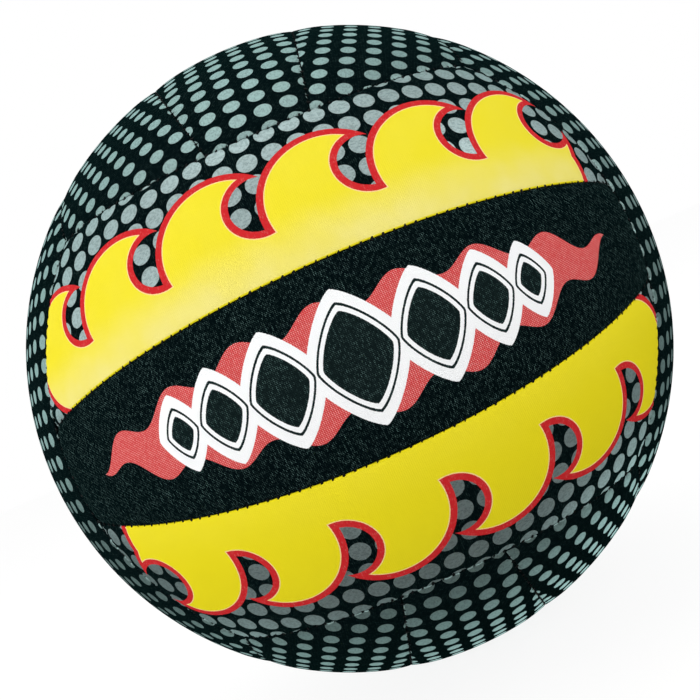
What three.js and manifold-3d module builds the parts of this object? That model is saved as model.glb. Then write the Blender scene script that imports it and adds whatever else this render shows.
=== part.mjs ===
// A machine-sewn beach volleyball: 18 cover panels in six groups of three strips, the cloth that
// backs them, the thread that joins them, and the bladder with its valve.
//
// Millimetres, +Z up. The origin is the ball's centre. The front group of panels faces -Y, with its
// strips along X. The valve is at the top, in the middle of the top group.

import * as THREE from 'three';
import { mergeVertices } from 'three/addons/utils/BufferGeometryUtils.js';
import Module from 'manifold-3d';

const wasm = await Module();
wasm.setup();

// Driving dimensions in millimetres, angles in degrees
const BALL_RADIUS = 106.5; // a circumference of 669 mm
const CLEARANCE = 0.3; // between pieces that touch each other on the real ball

const MIDDLE_HALF_ANGLE = 13.3; // half the width of a middle strip, seen from the ball's centre
const SIDE_BOW = 9.5; // how far a group's long sides bow in towards its middle strip

const PANEL_THICKNESS = 2.3;
const EDGE_ROUND_WIDTH = 2.4; // from a seam to where the cover is at its full height
const EDGE_ROUND_DEPTH = 1.6; // from the full height down to where two panels meet
const ALLOWANCE_WIDTH = 1.8; // the sewn edge, folded to the inside
const ALLOWANCE_DROP = 0.8; // how far the folded edge stands in from the panel's inner face

const LINING_THICKNESS = 0.5;
const THREAD_DIAMETER = 0.5;
const BLADDER_WALL = 0.9;

const PLUG_DIAMETER = 4.4;
const PLUG_LENGTH = 11;
const PLUG_RECESS = 0.3; // the plug's top below the valve's face
const PLUG_ROOM = 0.7; // the bore's floor below the plug
const PLUG_SLIT_LENGTH = 3; // below the needle hole, where the plug is slit and closes by itself
const NEEDLE_HOLE_DIAMETER = 1.6;
const VALVE_RECESS = 0.6; // the valve's face below the cover
const VALVE_RIM = 2; // the breadth of the valve's face round its bore
const VALVE_TAIL_WALL = 1.2; // round the bore, inside the bladder
const VALVE_TAIL_FLOOR = 3.2; // below the bore, slit like the plug
const VALVE_FLANGE_DIAMETER = 28;
const VALVE_FLANGE_THICKNESS = 1.2;
const PATCH_DIAMETER = 24;
const PATCH_THICKNESS = 0.6;

// Mesh resolution
const STEPS_ALONG = 10;
const STEPS_ACROSS = 4;
const ROUND_STEPS = 2;
const THREAD_SIDES = 5;
const BLADDER_STEPS = 12;
const TURN_STEPS = 20;

const COLOURS = { black: 0x14191a, yellow: 0xefe020, cloth: 0xd8d4c8, thread: 0x1a1c1d, rubber: 0x232323 };

// Seam pattern. A group has its own axes: x along its strips, y across them and z straight out of
// its middle. A point of the ball is given by two angles: along, away from the plane x = 0, and
// turn, about the x axis from the z axis towards y. The corners of a group are those of a cube.

const CORNER_ALONG = Math.asin(1 / Math.sqrt(3));
const CORNER_TURN = Math.PI / 4;
const MIDDLE_TURN = THREE.MathUtils.degToRad(MIDDLE_HALF_ANGLE);
const BOW = THREE.MathUtils.degToRad(SIDE_BOW);

function pointAt(along, turn, radius) {
  const x = Math.sin(along);
  const y = Math.cos(along) * Math.sin(turn);
  const z = Math.cos(along) * Math.cos(turn);
  return new THREE.Vector3(x, y, z).multiplyScalar(radius);
}

// The turn of a group's long side, which is lowest half way along it.
function sideTurn(along) {
  const share = along / CORNER_ALONG;
  return CORNER_TURN - BOW * (1 - share * share);
}

// How steeply the long side runs across the strip, as a length against its true breadth.
function sideSlant(along) {
  const slope = (2 * BOW * along) / (CORNER_ALONG * CORNER_ALONG);
  return Math.hypot(1, slope * Math.cos(along));
}

// A point of the seam at the strips' ends, which is the long side of the next group round.
function endPoint(nextAlong, radius) {
  const side = pointAt(nextAlong, sideTurn(nextAlong), radius);
  return new THREE.Vector3(side.z, side.x, side.y);
}

// How far along the strips the end seam lies at a given turn, found by halving.
function endAlong(turn) {
  let low = -CORNER_ALONG;
  let high = CORNER_ALONG;
  for (let i = 0; i < 40; i += 1) {
    const middle = (low + high) / 2;
    const point = endPoint(middle, 1);
    if (Math.atan2(point.y, point.z) < turn) {
      low = middle;
    } else {
      high = middle;
    }
  }
  return Math.asin(endPoint(low, 1).x);
}

// The strips of a group. Each is bounded by two seams along it, given by their turn.
const MIDDLE_STRIP = {
  low: () => -MIDDLE_TURN,
  high: () => MIDDLE_TURN,
  slant: () => 1,
};
const OUTER_STRIP = {
  low: () => MIDDLE_TURN,
  high: (share, inset) => sideTurn(share * (CORNER_ALONG - inset / BALL_RADIUS)),
  slant: (share) => sideSlant(share * CORNER_ALONG),
};

// A point of a strip: s runs along it and t across it, both from -1 to 1, and the strip's outline
// is drawn in by inset all round.
function stripPoint(strip, s, t, inset, radius) {
  const turnAt = (share, along) => {
    const margin = inset / (BALL_RADIUS * Math.cos(along));
    const low = strip.low() + margin;
    const high = strip.high(share, inset) - margin * strip.slant(share);
    return THREE.MathUtils.lerp(low, high, (t + 1) / 2);
  };
  const reach = endAlong(turnAt(1, CORNER_ALONG)) - inset / BALL_RADIUS;
  return pointAt(s * reach, turnAt(s, s * reach), radius);
}

// The outline of a strip's grid, once round, as pairs of s and t
function outlineSteps() {
  const steps = [];
  for (let i = 0; i < STEPS_ALONG; i += 1) steps.push([-1 + (2 * i) / STEPS_ALONG, -1]);
  for (let i = 0; i < STEPS_ACROSS; i += 1) steps.push([1, -1 + (2 * i) / STEPS_ACROSS]);
  for (let i = 0; i < STEPS_ALONG; i += 1) steps.push([1 - (2 * i) / STEPS_ALONG, 1]);
  for (let i = 0; i < STEPS_ACROSS; i += 1) steps.push([-1, 1 - (2 * i) / STEPS_ACROSS]);
  return steps;
}

// A closed shell in the shape of a strip. Each ring is an outline, as an inset and a radius, from
// the outer face's round the edge to the inner face's.
function stripShell(strip, rings) {
  const positions = [];
  const triangle = (a, b, c) => positions.push(...a.toArray(), ...b.toArray(), ...c.toArray());
  const quad = (a, b, c, d) => {
    triangle(a, b, c);
    triangle(a, c, d);
  };
  const face = (ring, outwards) => {
    const at = (i, j) => {
      const s = -1 + (2 * i) / STEPS_ALONG;
      const t = -1 + (2 * j) / STEPS_ACROSS;
      return stripPoint(strip, s, t, ring.inset, ring.radius);
    };
    for (let i = 0; i < STEPS_ALONG; i += 1) {
      for (let j = 0; j < STEPS_ACROSS; j += 1) {
        const [a, b, c, d] = [at(i, j), at(i + 1, j), at(i + 1, j + 1), at(i, j + 1)];
        if (outwards) quad(a, b, c, d);
        else quad(a, d, c, b);
      }
    }
  };
  const steps = outlineSteps();
  const outline = (ring) => steps.map(([s, t]) => stripPoint(strip, s, t, ring.inset, ring.radius));
  face(rings[0], true);
  for (let k = 1; k < rings.length; k += 1) {
    const upper = outline(rings[k - 1]);
    const lower = outline(rings[k]);
    for (let i = 0; i < steps.length; i += 1) {
      const next = (i + 1) % steps.length;
      quad(upper[i], lower[i], lower[next], upper[next]);
    }
  }
  face(rings.at(-1), false);
  const geometry = new THREE.BufferGeometry();
  geometry.setAttribute('position', new THREE.Float32BufferAttribute(positions, 3));
  return mergeVertices(geometry, 1e-4);
}

// Radii of the layers, from the outside in

const PANEL_INNER = BALL_RADIUS - PANEL_THICKNESS;
const LINING_OUTER = PANEL_INNER - CLEARANCE;
const LINING_INNER = LINING_OUTER - LINING_THICKNESS;
const ALLOWANCE_RADIUS = PANEL_INNER - ALLOWANCE_DROP;

// The flat facets of the layers above dip towards the bladder between their corners.
const HALF_STEP_ALONG = endAlong(0) / STEPS_ALONG;
const HALF_STEP_ACROSS = (CORNER_TURN - MIDDLE_TURN) / (2 * STEPS_ACROSS);
const FACET_DIP = Math.cos(HALF_STEP_ALONG) * Math.cos(HALF_STEP_ACROSS);
const BLADDER_RADIUS = Math.min(LINING_INNER, ALLOWANCE_RADIUS) * FACET_DIP - CLEARANCE;

// Cover panels

// The flat edges of the facets cut across the curve of a group's long side by this much.
const SIDE_SAG = (BALL_RADIUS * BOW) / (STEPS_ALONG * STEPS_ALONG);
const SEAM_HALF_GAP = (CLEARANCE + SIDE_SAG) / 2;

function roundedEdge() {
  const rings = [];
  for (let i = 0; i <= ROUND_STEPS; i += 1) {
    const angle = (i / ROUND_STEPS) * (Math.PI / 2);
    const inset = SEAM_HALF_GAP + (EDGE_ROUND_WIDTH - SEAM_HALF_GAP) * (1 - Math.sin(angle));
    rings.push({ inset, radius: BALL_RADIUS - EDGE_ROUND_DEPTH * (1 - Math.cos(angle)) });
  }
  return rings;
}

function panelGeometry(strip) {
  const foldInset = SEAM_HALF_GAP + ALLOWANCE_WIDTH;
  return stripShell(strip, [
    ...roundedEdge(),
    { inset: SEAM_HALF_GAP, radius: ALLOWANCE_RADIUS },
    { inset: foldInset, radius: ALLOWANCE_RADIUS },
    { inset: foldInset, radius: PANEL_INNER },
  ]);
}

function liningGeometry(strip) {
  const inset = SEAM_HALF_GAP + ALLOWANCE_WIDTH + CLEARANCE;
  return stripShell(strip, [
    { inset, radius: LINING_OUTER },
    { inset, radius: LINING_INNER },
  ]);
}

// Joining and cutting

function solidOf(geometry) {
  const bare = geometry.clone();
  bare.deleteAttribute('normal');
  bare.deleteAttribute('uv');
  const merged = mergeVertices(bare, 1e-4);
  const vertProperties = Float32Array.from(merged.attributes.position.array);
  const triVerts = Uint32Array.from(merged.index.array);
  return new wasm.Manifold(new wasm.Mesh({ numProp: 3, vertProperties, triVerts }));
}

function geometryOf(solid) {
  const mesh = solid.getMesh();
  const geometry = new THREE.BufferGeometry();
  geometry.setAttribute('position', new THREE.BufferAttribute(mesh.vertProperties, mesh.numProp));
  geometry.setIndex(new THREE.BufferAttribute(mesh.triVerts, 1));
  return geometry;
}

// Seam thread. It lies in the groove, as deep as the rounded edges leave room for it.

function threadRadiusOnBall() {
  const [, shoulder, foot] = roundedEdge();
  const run = shoulder.inset - foot.inset;
  const rise = shoulder.radius - foot.radius;
  const away = THREAD_DIAMETER / 2 + CLEARANCE;
  return foot.radius + (away * Math.hypot(run, rise) - foot.inset * rise) / run;
}

function threadTube(points) {
  const section = new THREE.Shape();
  const turn = (2 * Math.PI) / THREAD_SIDES;
  for (let i = 0; i < THREAD_SIDES; i += 1) {
    const x = (THREAD_DIAMETER / 2) * Math.cos(i * turn);
    const y = (THREAD_DIAMETER / 2) * Math.sin(i * turn);
    if (i === 0) section.moveTo(x, y);
    else section.lineTo(x, y);
  }
  return new THREE.ExtrudeGeometry(section, {
    steps: points.length - 1,
    bevelEnabled: false,
    extrudePath: new THREE.CatmullRomCurve3(points),
  });
}

// One group's thread: its two end seams, and the two seams beside its middle strip between them.
function threadGeometry() {
  const radius = threadRadiusOnBall();
  const tip = (THREAD_DIAMETER + CLEARANCE) / BALL_RADIUS;
  const parts = [];
  for (const side of [-1, 1]) {
    const end = [];
    const along = [];
    for (let i = 0; i <= STEPS_ALONG; i += 1) {
      const share = -1 + (2 * i) / STEPS_ALONG;
      end.push(endPoint(share * (CORNER_ALONG - tip), radius).multiply(new THREE.Vector3(side, 1, 1)));
      along.push(pointAt(share * endAlong(MIDDLE_TURN), side * MIDDLE_TURN, radius));
    }
    parts.push(solidOf(threadTube(end)), solidOf(threadTube(along)));
  }
  return geometryOf(parts.reduce((whole, part) => whole.add(part)));
}

// Turned pieces: a profile of [distance from the Z axis, height] turned about the Z axis

function turned(profile) {
  const points = profile.map(([r, z]) => new THREE.Vector2(r, z));
  return new THREE.LatheGeometry(points, TURN_STEPS).rotateX(Math.PI / 2);
}

function cutter(radius) {
  return solidOf(turned([[0, 0], [radius, 0], [radius, 2 * BALL_RADIUS], [0, 2 * BALL_RADIUS]]));
}

// Heights of the valve's layers, from the backing cloth inwards. The cloth's facets slope away from
// the middle, so the patch lies below its own edge.
const VALVE_FACE = BALL_RADIUS - VALVE_RECESS;
const PLUG_TOP = VALVE_FACE - PLUG_RECESS;
const PLUG_END = PLUG_TOP - PLUG_LENGTH;
const BORE_END = PLUG_END - PLUG_ROOM;
const MIDDLE_STEP_ACROSS = MIDDLE_TURN / STEPS_ACROSS;
const LINING_SLOPE = Math.hypot(Math.tan(HALF_STEP_ALONG), Math.tan(MIDDLE_STEP_ACROSS));
const PATCH_TOP = LINING_INNER - (PATCH_DIAMETER / 2) * LINING_SLOPE - CLEARANCE;
const PATCH_BOTTOM = PATCH_TOP - PATCH_THICKNESS;
const FLANGE_ROOM = BLADDER_RADIUS * Math.cos(Math.asin(VALVE_FLANGE_DIAMETER / (2 * BLADDER_RADIUS)));
const FLANGE_TOP = Math.min(PATCH_BOTTOM - CLEARANCE, FLANGE_ROOM);
const FLANGE_BOTTOM = FLANGE_TOP - VALVE_FLANGE_THICKNESS;
const SEAT_HEIGHT = FLANGE_BOTTOM - CLEARANCE;
const TAIL_END = Math.min(BORE_END, FLANGE_BOTTOM) - VALVE_TAIL_FLOOR;

// Radii of the valve's parts, from the plug outwards
const BORE_RADIUS = PLUG_DIAMETER / 2 + CLEARANCE;
const FACE_RADIUS = BORE_RADIUS + VALVE_RIM;
const TAIL_RADIUS = BORE_RADIUS + VALVE_TAIL_WALL;

function bladderGeometry() {
  const inner = BLADDER_RADIUS - BLADDER_WALL;
  const mouth = TAIL_RADIUS + CLEARANCE;
  const arc = (radius, height) => {
    const points = [];
    const reach = Math.acos(-height / radius);
    for (let i = 0; i <= BLADDER_STEPS; i += 1) {
      const angle = (i / BLADDER_STEPS) * reach;
      points.push([i === 0 ? 0 : radius * Math.sin(angle), -radius * Math.cos(angle)]);
    }
    return points;
  };
  return turned([
    ...arc(BLADDER_RADIUS, SEAT_HEIGHT),
    [mouth, SEAT_HEIGHT],
    [mouth, SEAT_HEIGHT - BLADDER_WALL],
    ...arc(inner, SEAT_HEIGHT - BLADDER_WALL).reverse(),
  ]);
}

function valveBodyGeometry() {
  const flange = VALVE_FLANGE_DIAMETER / 2;
  return turned([
    [0, TAIL_END],
    [TAIL_RADIUS, TAIL_END],
    [TAIL_RADIUS, FLANGE_BOTTOM],
    [flange, FLANGE_BOTTOM],
    [flange, FLANGE_TOP],
    [FACE_RADIUS, FLANGE_TOP],
    [FACE_RADIUS, VALVE_FACE],
    [BORE_RADIUS, VALVE_FACE],
    [BORE_RADIUS, BORE_END],
    [0, BORE_END],
  ]);
}

function valvePlugGeometry() {
  const radius = PLUG_DIAMETER / 2;
  const hole = NEEDLE_HOLE_DIAMETER / 2;
  const holeEnd = PLUG_END + PLUG_SLIT_LENGTH;
  return turned([
    [0, PLUG_END],
    [radius, PLUG_END],
    [radius, PLUG_TOP],
    [hole, PLUG_TOP],
    [hole, holeEnd],
    [0, holeEnd],
  ]);
}

function valvePatchGeometry() {
  const inner = FACE_RADIUS + CLEARANCE;
  const outer = PATCH_DIAMETER / 2;
  return turned([
    [inner, PATCH_BOTTOM],
    [outer, PATCH_BOTTOM],
    [outer, PATCH_TOP],
    [inner, PATCH_TOP],
    [inner, PATCH_BOTTOM],
  ]);
}

// Assembly

const MATERIALS = {
  knit: { color: COLOURS.black, roughness: 0.8, metalness: 0 },
  print: { color: COLOURS.yellow, roughness: 0.6, metalness: 0 },
  cloth: { color: COLOURS.cloth, roughness: 0.9, metalness: 0 },
  thread: { color: COLOURS.thread, roughness: 0.7, metalness: 0 },
  rubber: { color: COLOURS.rubber, roughness: 0.5, metalness: 0 },
};

function piece(name, geometry, material) {
  const mesh = new THREE.Mesh(geometry, new THREE.MeshStandardMaterial(MATERIALS[material]));
  mesh.name = name;
  return mesh;
}

const X = new THREE.Vector3(1, 0, 0);
const Y = new THREE.Vector3(0, 1, 0);
const Z = new THREE.Vector3(0, 0, 1);
const minus = (axis) => axis.clone().negate();

// Each group's strips are named from the one on its own y side to the one opposite.
const GROUPS = [
  { name: 'front', along: X, across: Z, strips: ['upper', 'middle', 'lower'], outer: 'print' },
  { name: 'back', along: minus(X), across: Z, strips: ['upper', 'middle', 'lower'], outer: 'print' },
  { name: 'left', along: Z, across: Y, strips: ['back', 'middle', 'front'], outer: 'knit' },
  { name: 'right', along: Z, across: minus(Y), strips: ['front', 'middle', 'back'], outer: 'knit' },
  { name: 'top', along: Y, across: minus(X), strips: ['left', 'middle', 'right'], outer: 'knit' },
  { name: 'bottom', along: Y, across: X, strips: ['right', 'middle', 'left'], outer: 'knit' },
];

const SHAPES = {
  outerPanel: panelGeometry(OUTER_STRIP),
  middlePanel: panelGeometry(MIDDLE_STRIP),
  outerLining: liningGeometry(OUTER_STRIP),
  middleLining: liningGeometry(MIDDLE_STRIP),
  thread: threadGeometry(),
};

// The middle panel and its cloth have a hole where the valve comes through.
const VALVE_HOLE = cutter(FACE_RADIUS + CLEARANCE);
const withValveHole = (geometry) => geometryOf(solidOf(geometry).subtract(VALVE_HOLE));

function groupOfPanels({ name, along, across, strips, outer }) {
  const group = new THREE.Group();
  const out = new THREE.Vector3().crossVectors(along, across);
  group.setRotationFromMatrix(new THREE.Matrix4().makeBasis(along, across, out));
  const hasValve = out.z > 0.5;
  strips.forEach((strip, i) => {
    const isMiddle = i === 1;
    let panel = isMiddle ? SHAPES.middlePanel : SHAPES.outerPanel;
    let lining = isMiddle ? SHAPES.middleLining : SHAPES.outerLining;
    if (isMiddle && hasValve) {
      panel = withValveHole(panel);
      lining = withValveHole(lining);
    }
    const cover = piece(`panel_${name}_${strip}`, panel, isMiddle ? 'knit' : outer);
    const backing = piece(`lining_${name}_${strip}`, lining, 'cloth');
    for (const mesh of [cover, backing]) {
      mesh.rotation.z = i === 2 ? Math.PI : 0;
      group.add(mesh);
    }
  });
  group.add(piece(`thread_${name}`, SHAPES.thread, 'thread'));
  return group;
}

const ball = new THREE.Group();
for (const group of GROUPS) ball.add(groupOfPanels(group));
ball.add(piece('bladder', bladderGeometry(), 'rubber'));
ball.add(piece('valve_body', valveBodyGeometry(), 'rubber'));
ball.add(piece('valve_plug', valvePlugGeometry(), 'rubber'));
ball.add(piece('valve_patch', valvePatchGeometry(), 'rubber'));

export default ball;
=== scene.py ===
import math
import random

import bpy
import numpy as np
from mathutils import Matrix, Vector


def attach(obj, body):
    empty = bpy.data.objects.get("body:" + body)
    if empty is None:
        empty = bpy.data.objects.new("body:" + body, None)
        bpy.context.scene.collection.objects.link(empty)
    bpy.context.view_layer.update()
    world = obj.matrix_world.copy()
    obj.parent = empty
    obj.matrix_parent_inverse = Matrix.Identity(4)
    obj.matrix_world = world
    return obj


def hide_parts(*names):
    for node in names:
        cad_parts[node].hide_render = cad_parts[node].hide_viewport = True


# A machine-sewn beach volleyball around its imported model: fine cover panels with their print, the
# stitches in the grooves and the valve. Lengths are in millimetres until a mesh is made, apart from
# those that say metres, and angles are in radians. A place on a strip is given by two angles: along
# it, and the turn about the axis that it runs round.

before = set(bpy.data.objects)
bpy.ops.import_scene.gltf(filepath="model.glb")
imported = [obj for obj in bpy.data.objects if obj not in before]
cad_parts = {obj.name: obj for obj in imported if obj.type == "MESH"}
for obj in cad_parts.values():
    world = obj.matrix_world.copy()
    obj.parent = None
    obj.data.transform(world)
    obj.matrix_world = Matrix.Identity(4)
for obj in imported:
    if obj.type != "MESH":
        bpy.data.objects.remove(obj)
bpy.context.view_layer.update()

MM = 0.001
SEED = 7


# The seam pattern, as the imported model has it

def farthest(node):
    """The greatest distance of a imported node's points from the ball's centre."""
    return max(v.co.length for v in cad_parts[node].data.vertices) / MM


BALL_RADIUS = farthest("panel_front_middle")
MIDDLE_TURN = math.radians(13.3)
BOW = math.radians(9.5)
CORNER_ALONG = math.asin(1 / math.sqrt(3))
CORNER_TURN = math.pi / 4

# Each group's axes along and across its strips, and its strips from the across side on
GROUPS = {
    "front": ((1, 0, 0), (0, 0, 1), ("upper", "middle", "lower")),
    "back": ((-1, 0, 0), (0, 0, 1), ("upper", "middle", "lower")),
    "left": ((0, 0, 1), (0, 1, 0), ("back", "middle", "front")),
    "right": ((0, 0, 1), (0, -1, 0), ("front", "middle", "back")),
    "top": ((0, 1, 0), (-1, 0, 0), ("left", "middle", "right")),
    "bottom": ((0, 1, 0), (1, 0, 0), ("right", "middle", "left")),
}


def axes_of(group):
    """A group's own axes as the rows of a matrix: along its strips, across them, and outwards."""
    along, across, _ = GROUPS[group]
    return np.array([along, across, np.cross(along, across)], float)


def point_at(along, turn):
    """A point of the unit ball, in a group's own axes."""
    flat = np.cos(along)
    return np.stack([np.sin(along), flat * np.sin(turn), flat * np.cos(turn)], axis=-1)


def side_turn(along):
    """The turn of a group's long side, which is lowest half way along it."""
    return CORNER_TURN - BOW * (1 - (along / CORNER_ALONG) ** 2)


def side_slant(along):
    """The long side's own length against its run along the group."""
    slope = 2 * BOW * along / CORNER_ALONG**2
    return np.hypot(1, slope * np.cos(along))


# The end seam of a group is the long side of the next group round.
SIDE_POINTS = 721
NEXT_ALONG = np.linspace(-CORNER_ALONG, CORNER_ALONG, SIDE_POINTS)
NEXT_SIDE = point_at(NEXT_ALONG, side_turn(NEXT_ALONG))
END_TURNS = np.arctan2(NEXT_SIDE[:, 0], NEXT_SIDE[:, 1])
END_ALONGS = np.arcsin(NEXT_SIDE[:, 2])
END_SLOPES = np.gradient(END_ALONGS, END_TURNS)
SIDE_STEPS = np.linalg.norm(np.diff(NEXT_SIDE, axis=0), axis=1)
SIDE_LENGTHS = BALL_RADIUS * (np.concatenate([[0], np.cumsum(SIDE_STEPS)]) - SIDE_STEPS.sum() / 2)


def end_along(turn):
    """How far along a group its end seam lies at a given turn."""
    return np.interp(turn, END_TURNS, END_ALONGS)


def end_slant(turn):
    """The end seam's own length against its run across the group."""
    return np.hypot(1, np.interp(turn, END_TURNS, END_SLOPES) / np.cos(end_along(turn)))


def side_length(along):
    """The place of a point on a long side, as a length from its middle."""
    return np.interp(along, NEXT_ALONG, SIDE_LENGTHS)


class Strip:
    """One kind of strip, between two seams along it and one at each end."""

    def __init__(self, outer, steps_across):
        self.outer = outer
        self.steps_across = steps_across
        self.low = MIDDLE_TURN if outer else -MIDDLE_TURN

    def high(self, share, inset):
        if not self.outer:
            return np.full(np.shape(share), MIDDLE_TURN)
        return side_turn(share * (CORNER_ALONG - inset / BALL_RADIUS))

    def slant(self, share):
        return side_slant(share * CORNER_ALONG) if self.outer else np.ones(np.shape(share))

    def turn_at(self, share, along, t, inset):
        margin = inset / (BALL_RADIUS * np.cos(along))
        low = self.low + margin
        high = self.high(share, inset) - margin * self.slant(share)
        return low + (high - low) * (t + 1) / 2

    def angles(self, s, t, inset):
        """Along and turn of the strip's points: s runs along it and t across it, from -1 to 1."""
        end_turn = self.turn_at(np.ones(np.shape(s)), CORNER_ALONG, t, inset)
        reach = end_along(end_turn) - inset * end_slant(end_turn) / BALL_RADIUS
        return s * reach, self.turn_at(s, s * reach, t, inset)

    def seams(self, along, turn):
        """The distance of each point from each of the strip's seams, and its place along them."""
        breadth = BALL_RADIUS * np.cos(along)
        arc = BALL_RADIUS * along
        low = (breadth * (turn - self.low), arc)
        if self.outer:
            inside = np.clip(along, -CORNER_ALONG, CORNER_ALONG)
            gap = breadth * (side_turn(inside) - turn) / side_slant(inside)
            high = (gap, side_length(inside))
        else:
            high = (breadth * (MIDDLE_TURN - turn), arc)
        end_gap = BALL_RADIUS * (end_along(turn) - np.abs(along)) / end_slant(turn)
        end_place = side_length(np.arcsin(np.cos(along) * np.sin(turn)))
        return [low, high, (end_gap, end_place)]


# The cover's surface near a seam

SEAM_HALF_GAP = 0.06
GROOVE_WIDTH = 0.42  # from a seam to where the rounded edge starts
GROOVE_DEPTH = 0.5
SAG_WIDTH = 9.0  # the soft dip on each side of a seam
SAG_DEPTH = 0.45
STITCH_PITCH = 2.9
PUCKER_WIDTH = 2.1  # how far from the seam the stitches pull the cover in
PUCKER_DEPTH = 0.4
PUCKER_SHARPNESS = 3  # the higher, the shorter each pucker along the seam
SLOW_SWING, SLOW_LENGTH = 0.25, 7.3  # how much the pull changes along a seam, and how slowly
QUICK_SWING, QUICK_LENGTH = 0.2, 3.1

PANEL_THICKNESS = 2.3
ALLOWANCE_WIDTH = 1.8
ALLOWANCE_DEPTH = 3.1


def smoothstep(x):
    x = np.clip(x, 0, 1)
    return x * x * (3 - 2 * x)


def sag(gap):
    """How far the cover lies below the full ball at this distance from a seam."""
    return SAG_DEPTH * np.clip(1 - gap / SAG_WIDTH, 0, 1) ** 2


def edge_drop(gap):
    """How far the rounded edge drops at this distance from a seam."""
    x = np.clip((GROOVE_WIDTH - gap) / (GROOVE_WIDTH - SEAM_HALF_GAP), 0, 1)
    return GROOVE_DEPTH * (1 - np.sqrt(1 - x * x))


def pucker(gap, place):
    """The pull of the stitches, with slow changes from one stretch of seam to the next."""
    pull = (0.5 + 0.5 * np.cos(2 * math.pi * place / STITCH_PITCH)) ** PUCKER_SHARPNESS
    uneven = 1 + SLOW_SWING * np.sin(place / SLOW_LENGTH)
    uneven = uneven + QUICK_SWING * np.sin(place / QUICK_LENGTH + 1)
    return PUCKER_DEPTH * pull * uneven * smoothstep(1 - gap / PUCKER_WIDTH)


def edge_gap(strip, along, turn):
    """The distance of each point from the nearest seam."""
    return np.min([gap for gap, _ in strip.seams(along, turn)], axis=0)


def cover_dip(strip, along, turn):
    """How far the open face of a strip lies below the full ball."""
    dip = 0
    for gap, place in strip.seams(along, turn):
        gap = np.maximum(gap, 0)
        dip = dip + sag(gap) + pucker(gap, place)
    return dip


# Meshes

def make_object(name, points, faces):
    """A mesh object from points in millimetres and lists of corners."""
    mesh = bpy.data.meshes.new(name)
    mesh.from_pydata((np.asarray(points) * MM).tolist(), [], faces)
    mesh.polygons.foreach_set("use_smooth", [True] * len(mesh.polygons))
    mesh.update()
    made = bpy.data.objects.new(name, mesh)
    bpy.context.scene.collection.objects.link(made)
    return made


def give_attribute(made, name, values):
    attribute = made.data.attributes.new(name, "FLOAT_VECTOR", "POINT")
    attribute.data.foreach_set("vector", np.asarray(values, np.float32).ravel())


def dress(made, material, slot, *nodes):
    """Finishes a piece: its material, the body it rides on and the nodes it stands for. slot is not
    used.
    """
    made.data.materials.append(material)
    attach(made, "root")
    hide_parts(*nodes)


# Cover panels

STEPS_ALONG = 160
FINER = 2  # steps of the edge for one of the open face
INNER_COARSER = 8  # steps of the edge for one of the inner face
EDGE_STEPS = 7
FACE_MARGIN = 0.6
FACE_INSET = GROOVE_WIDTH + FACE_MARGIN  # from a seam to the grid of the open face
HOLE_RADIUS = 4.8
HOLE_ROUND = 0.7
HOLE_SQUARE = 8  # half the width of the square round the hole, in steps of the open face
HOLE_RINGS = 5
HOLE_EDGE_STEPS = 4

OUTER_STRIP = Strip(outer=True, steps_across=48)
MIDDLE_STRIP = Strip(outer=False, steps_across=40)


def outline(steps_along, steps_across):
    """s and t once round a strip's outline."""
    along = np.linspace(-1, 1, steps_along + 1)
    across = np.linspace(-1, 1, steps_across + 1)
    s = np.concatenate([along[:-1], np.ones(steps_across), along[:0:-1], -np.ones(steps_across)])
    t = np.concatenate([-np.ones(steps_along), across[:-1], np.ones(steps_along), across[:0:-1]])
    return s, t


def border(numbers):
    """The outer points of a grid of numbers, in the order of outline()."""
    return [*numbers[:-1, 0], *numbers[-1, :-1], *numbers[:0:-1, -1], *numbers[0, :0:-1]]


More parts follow.
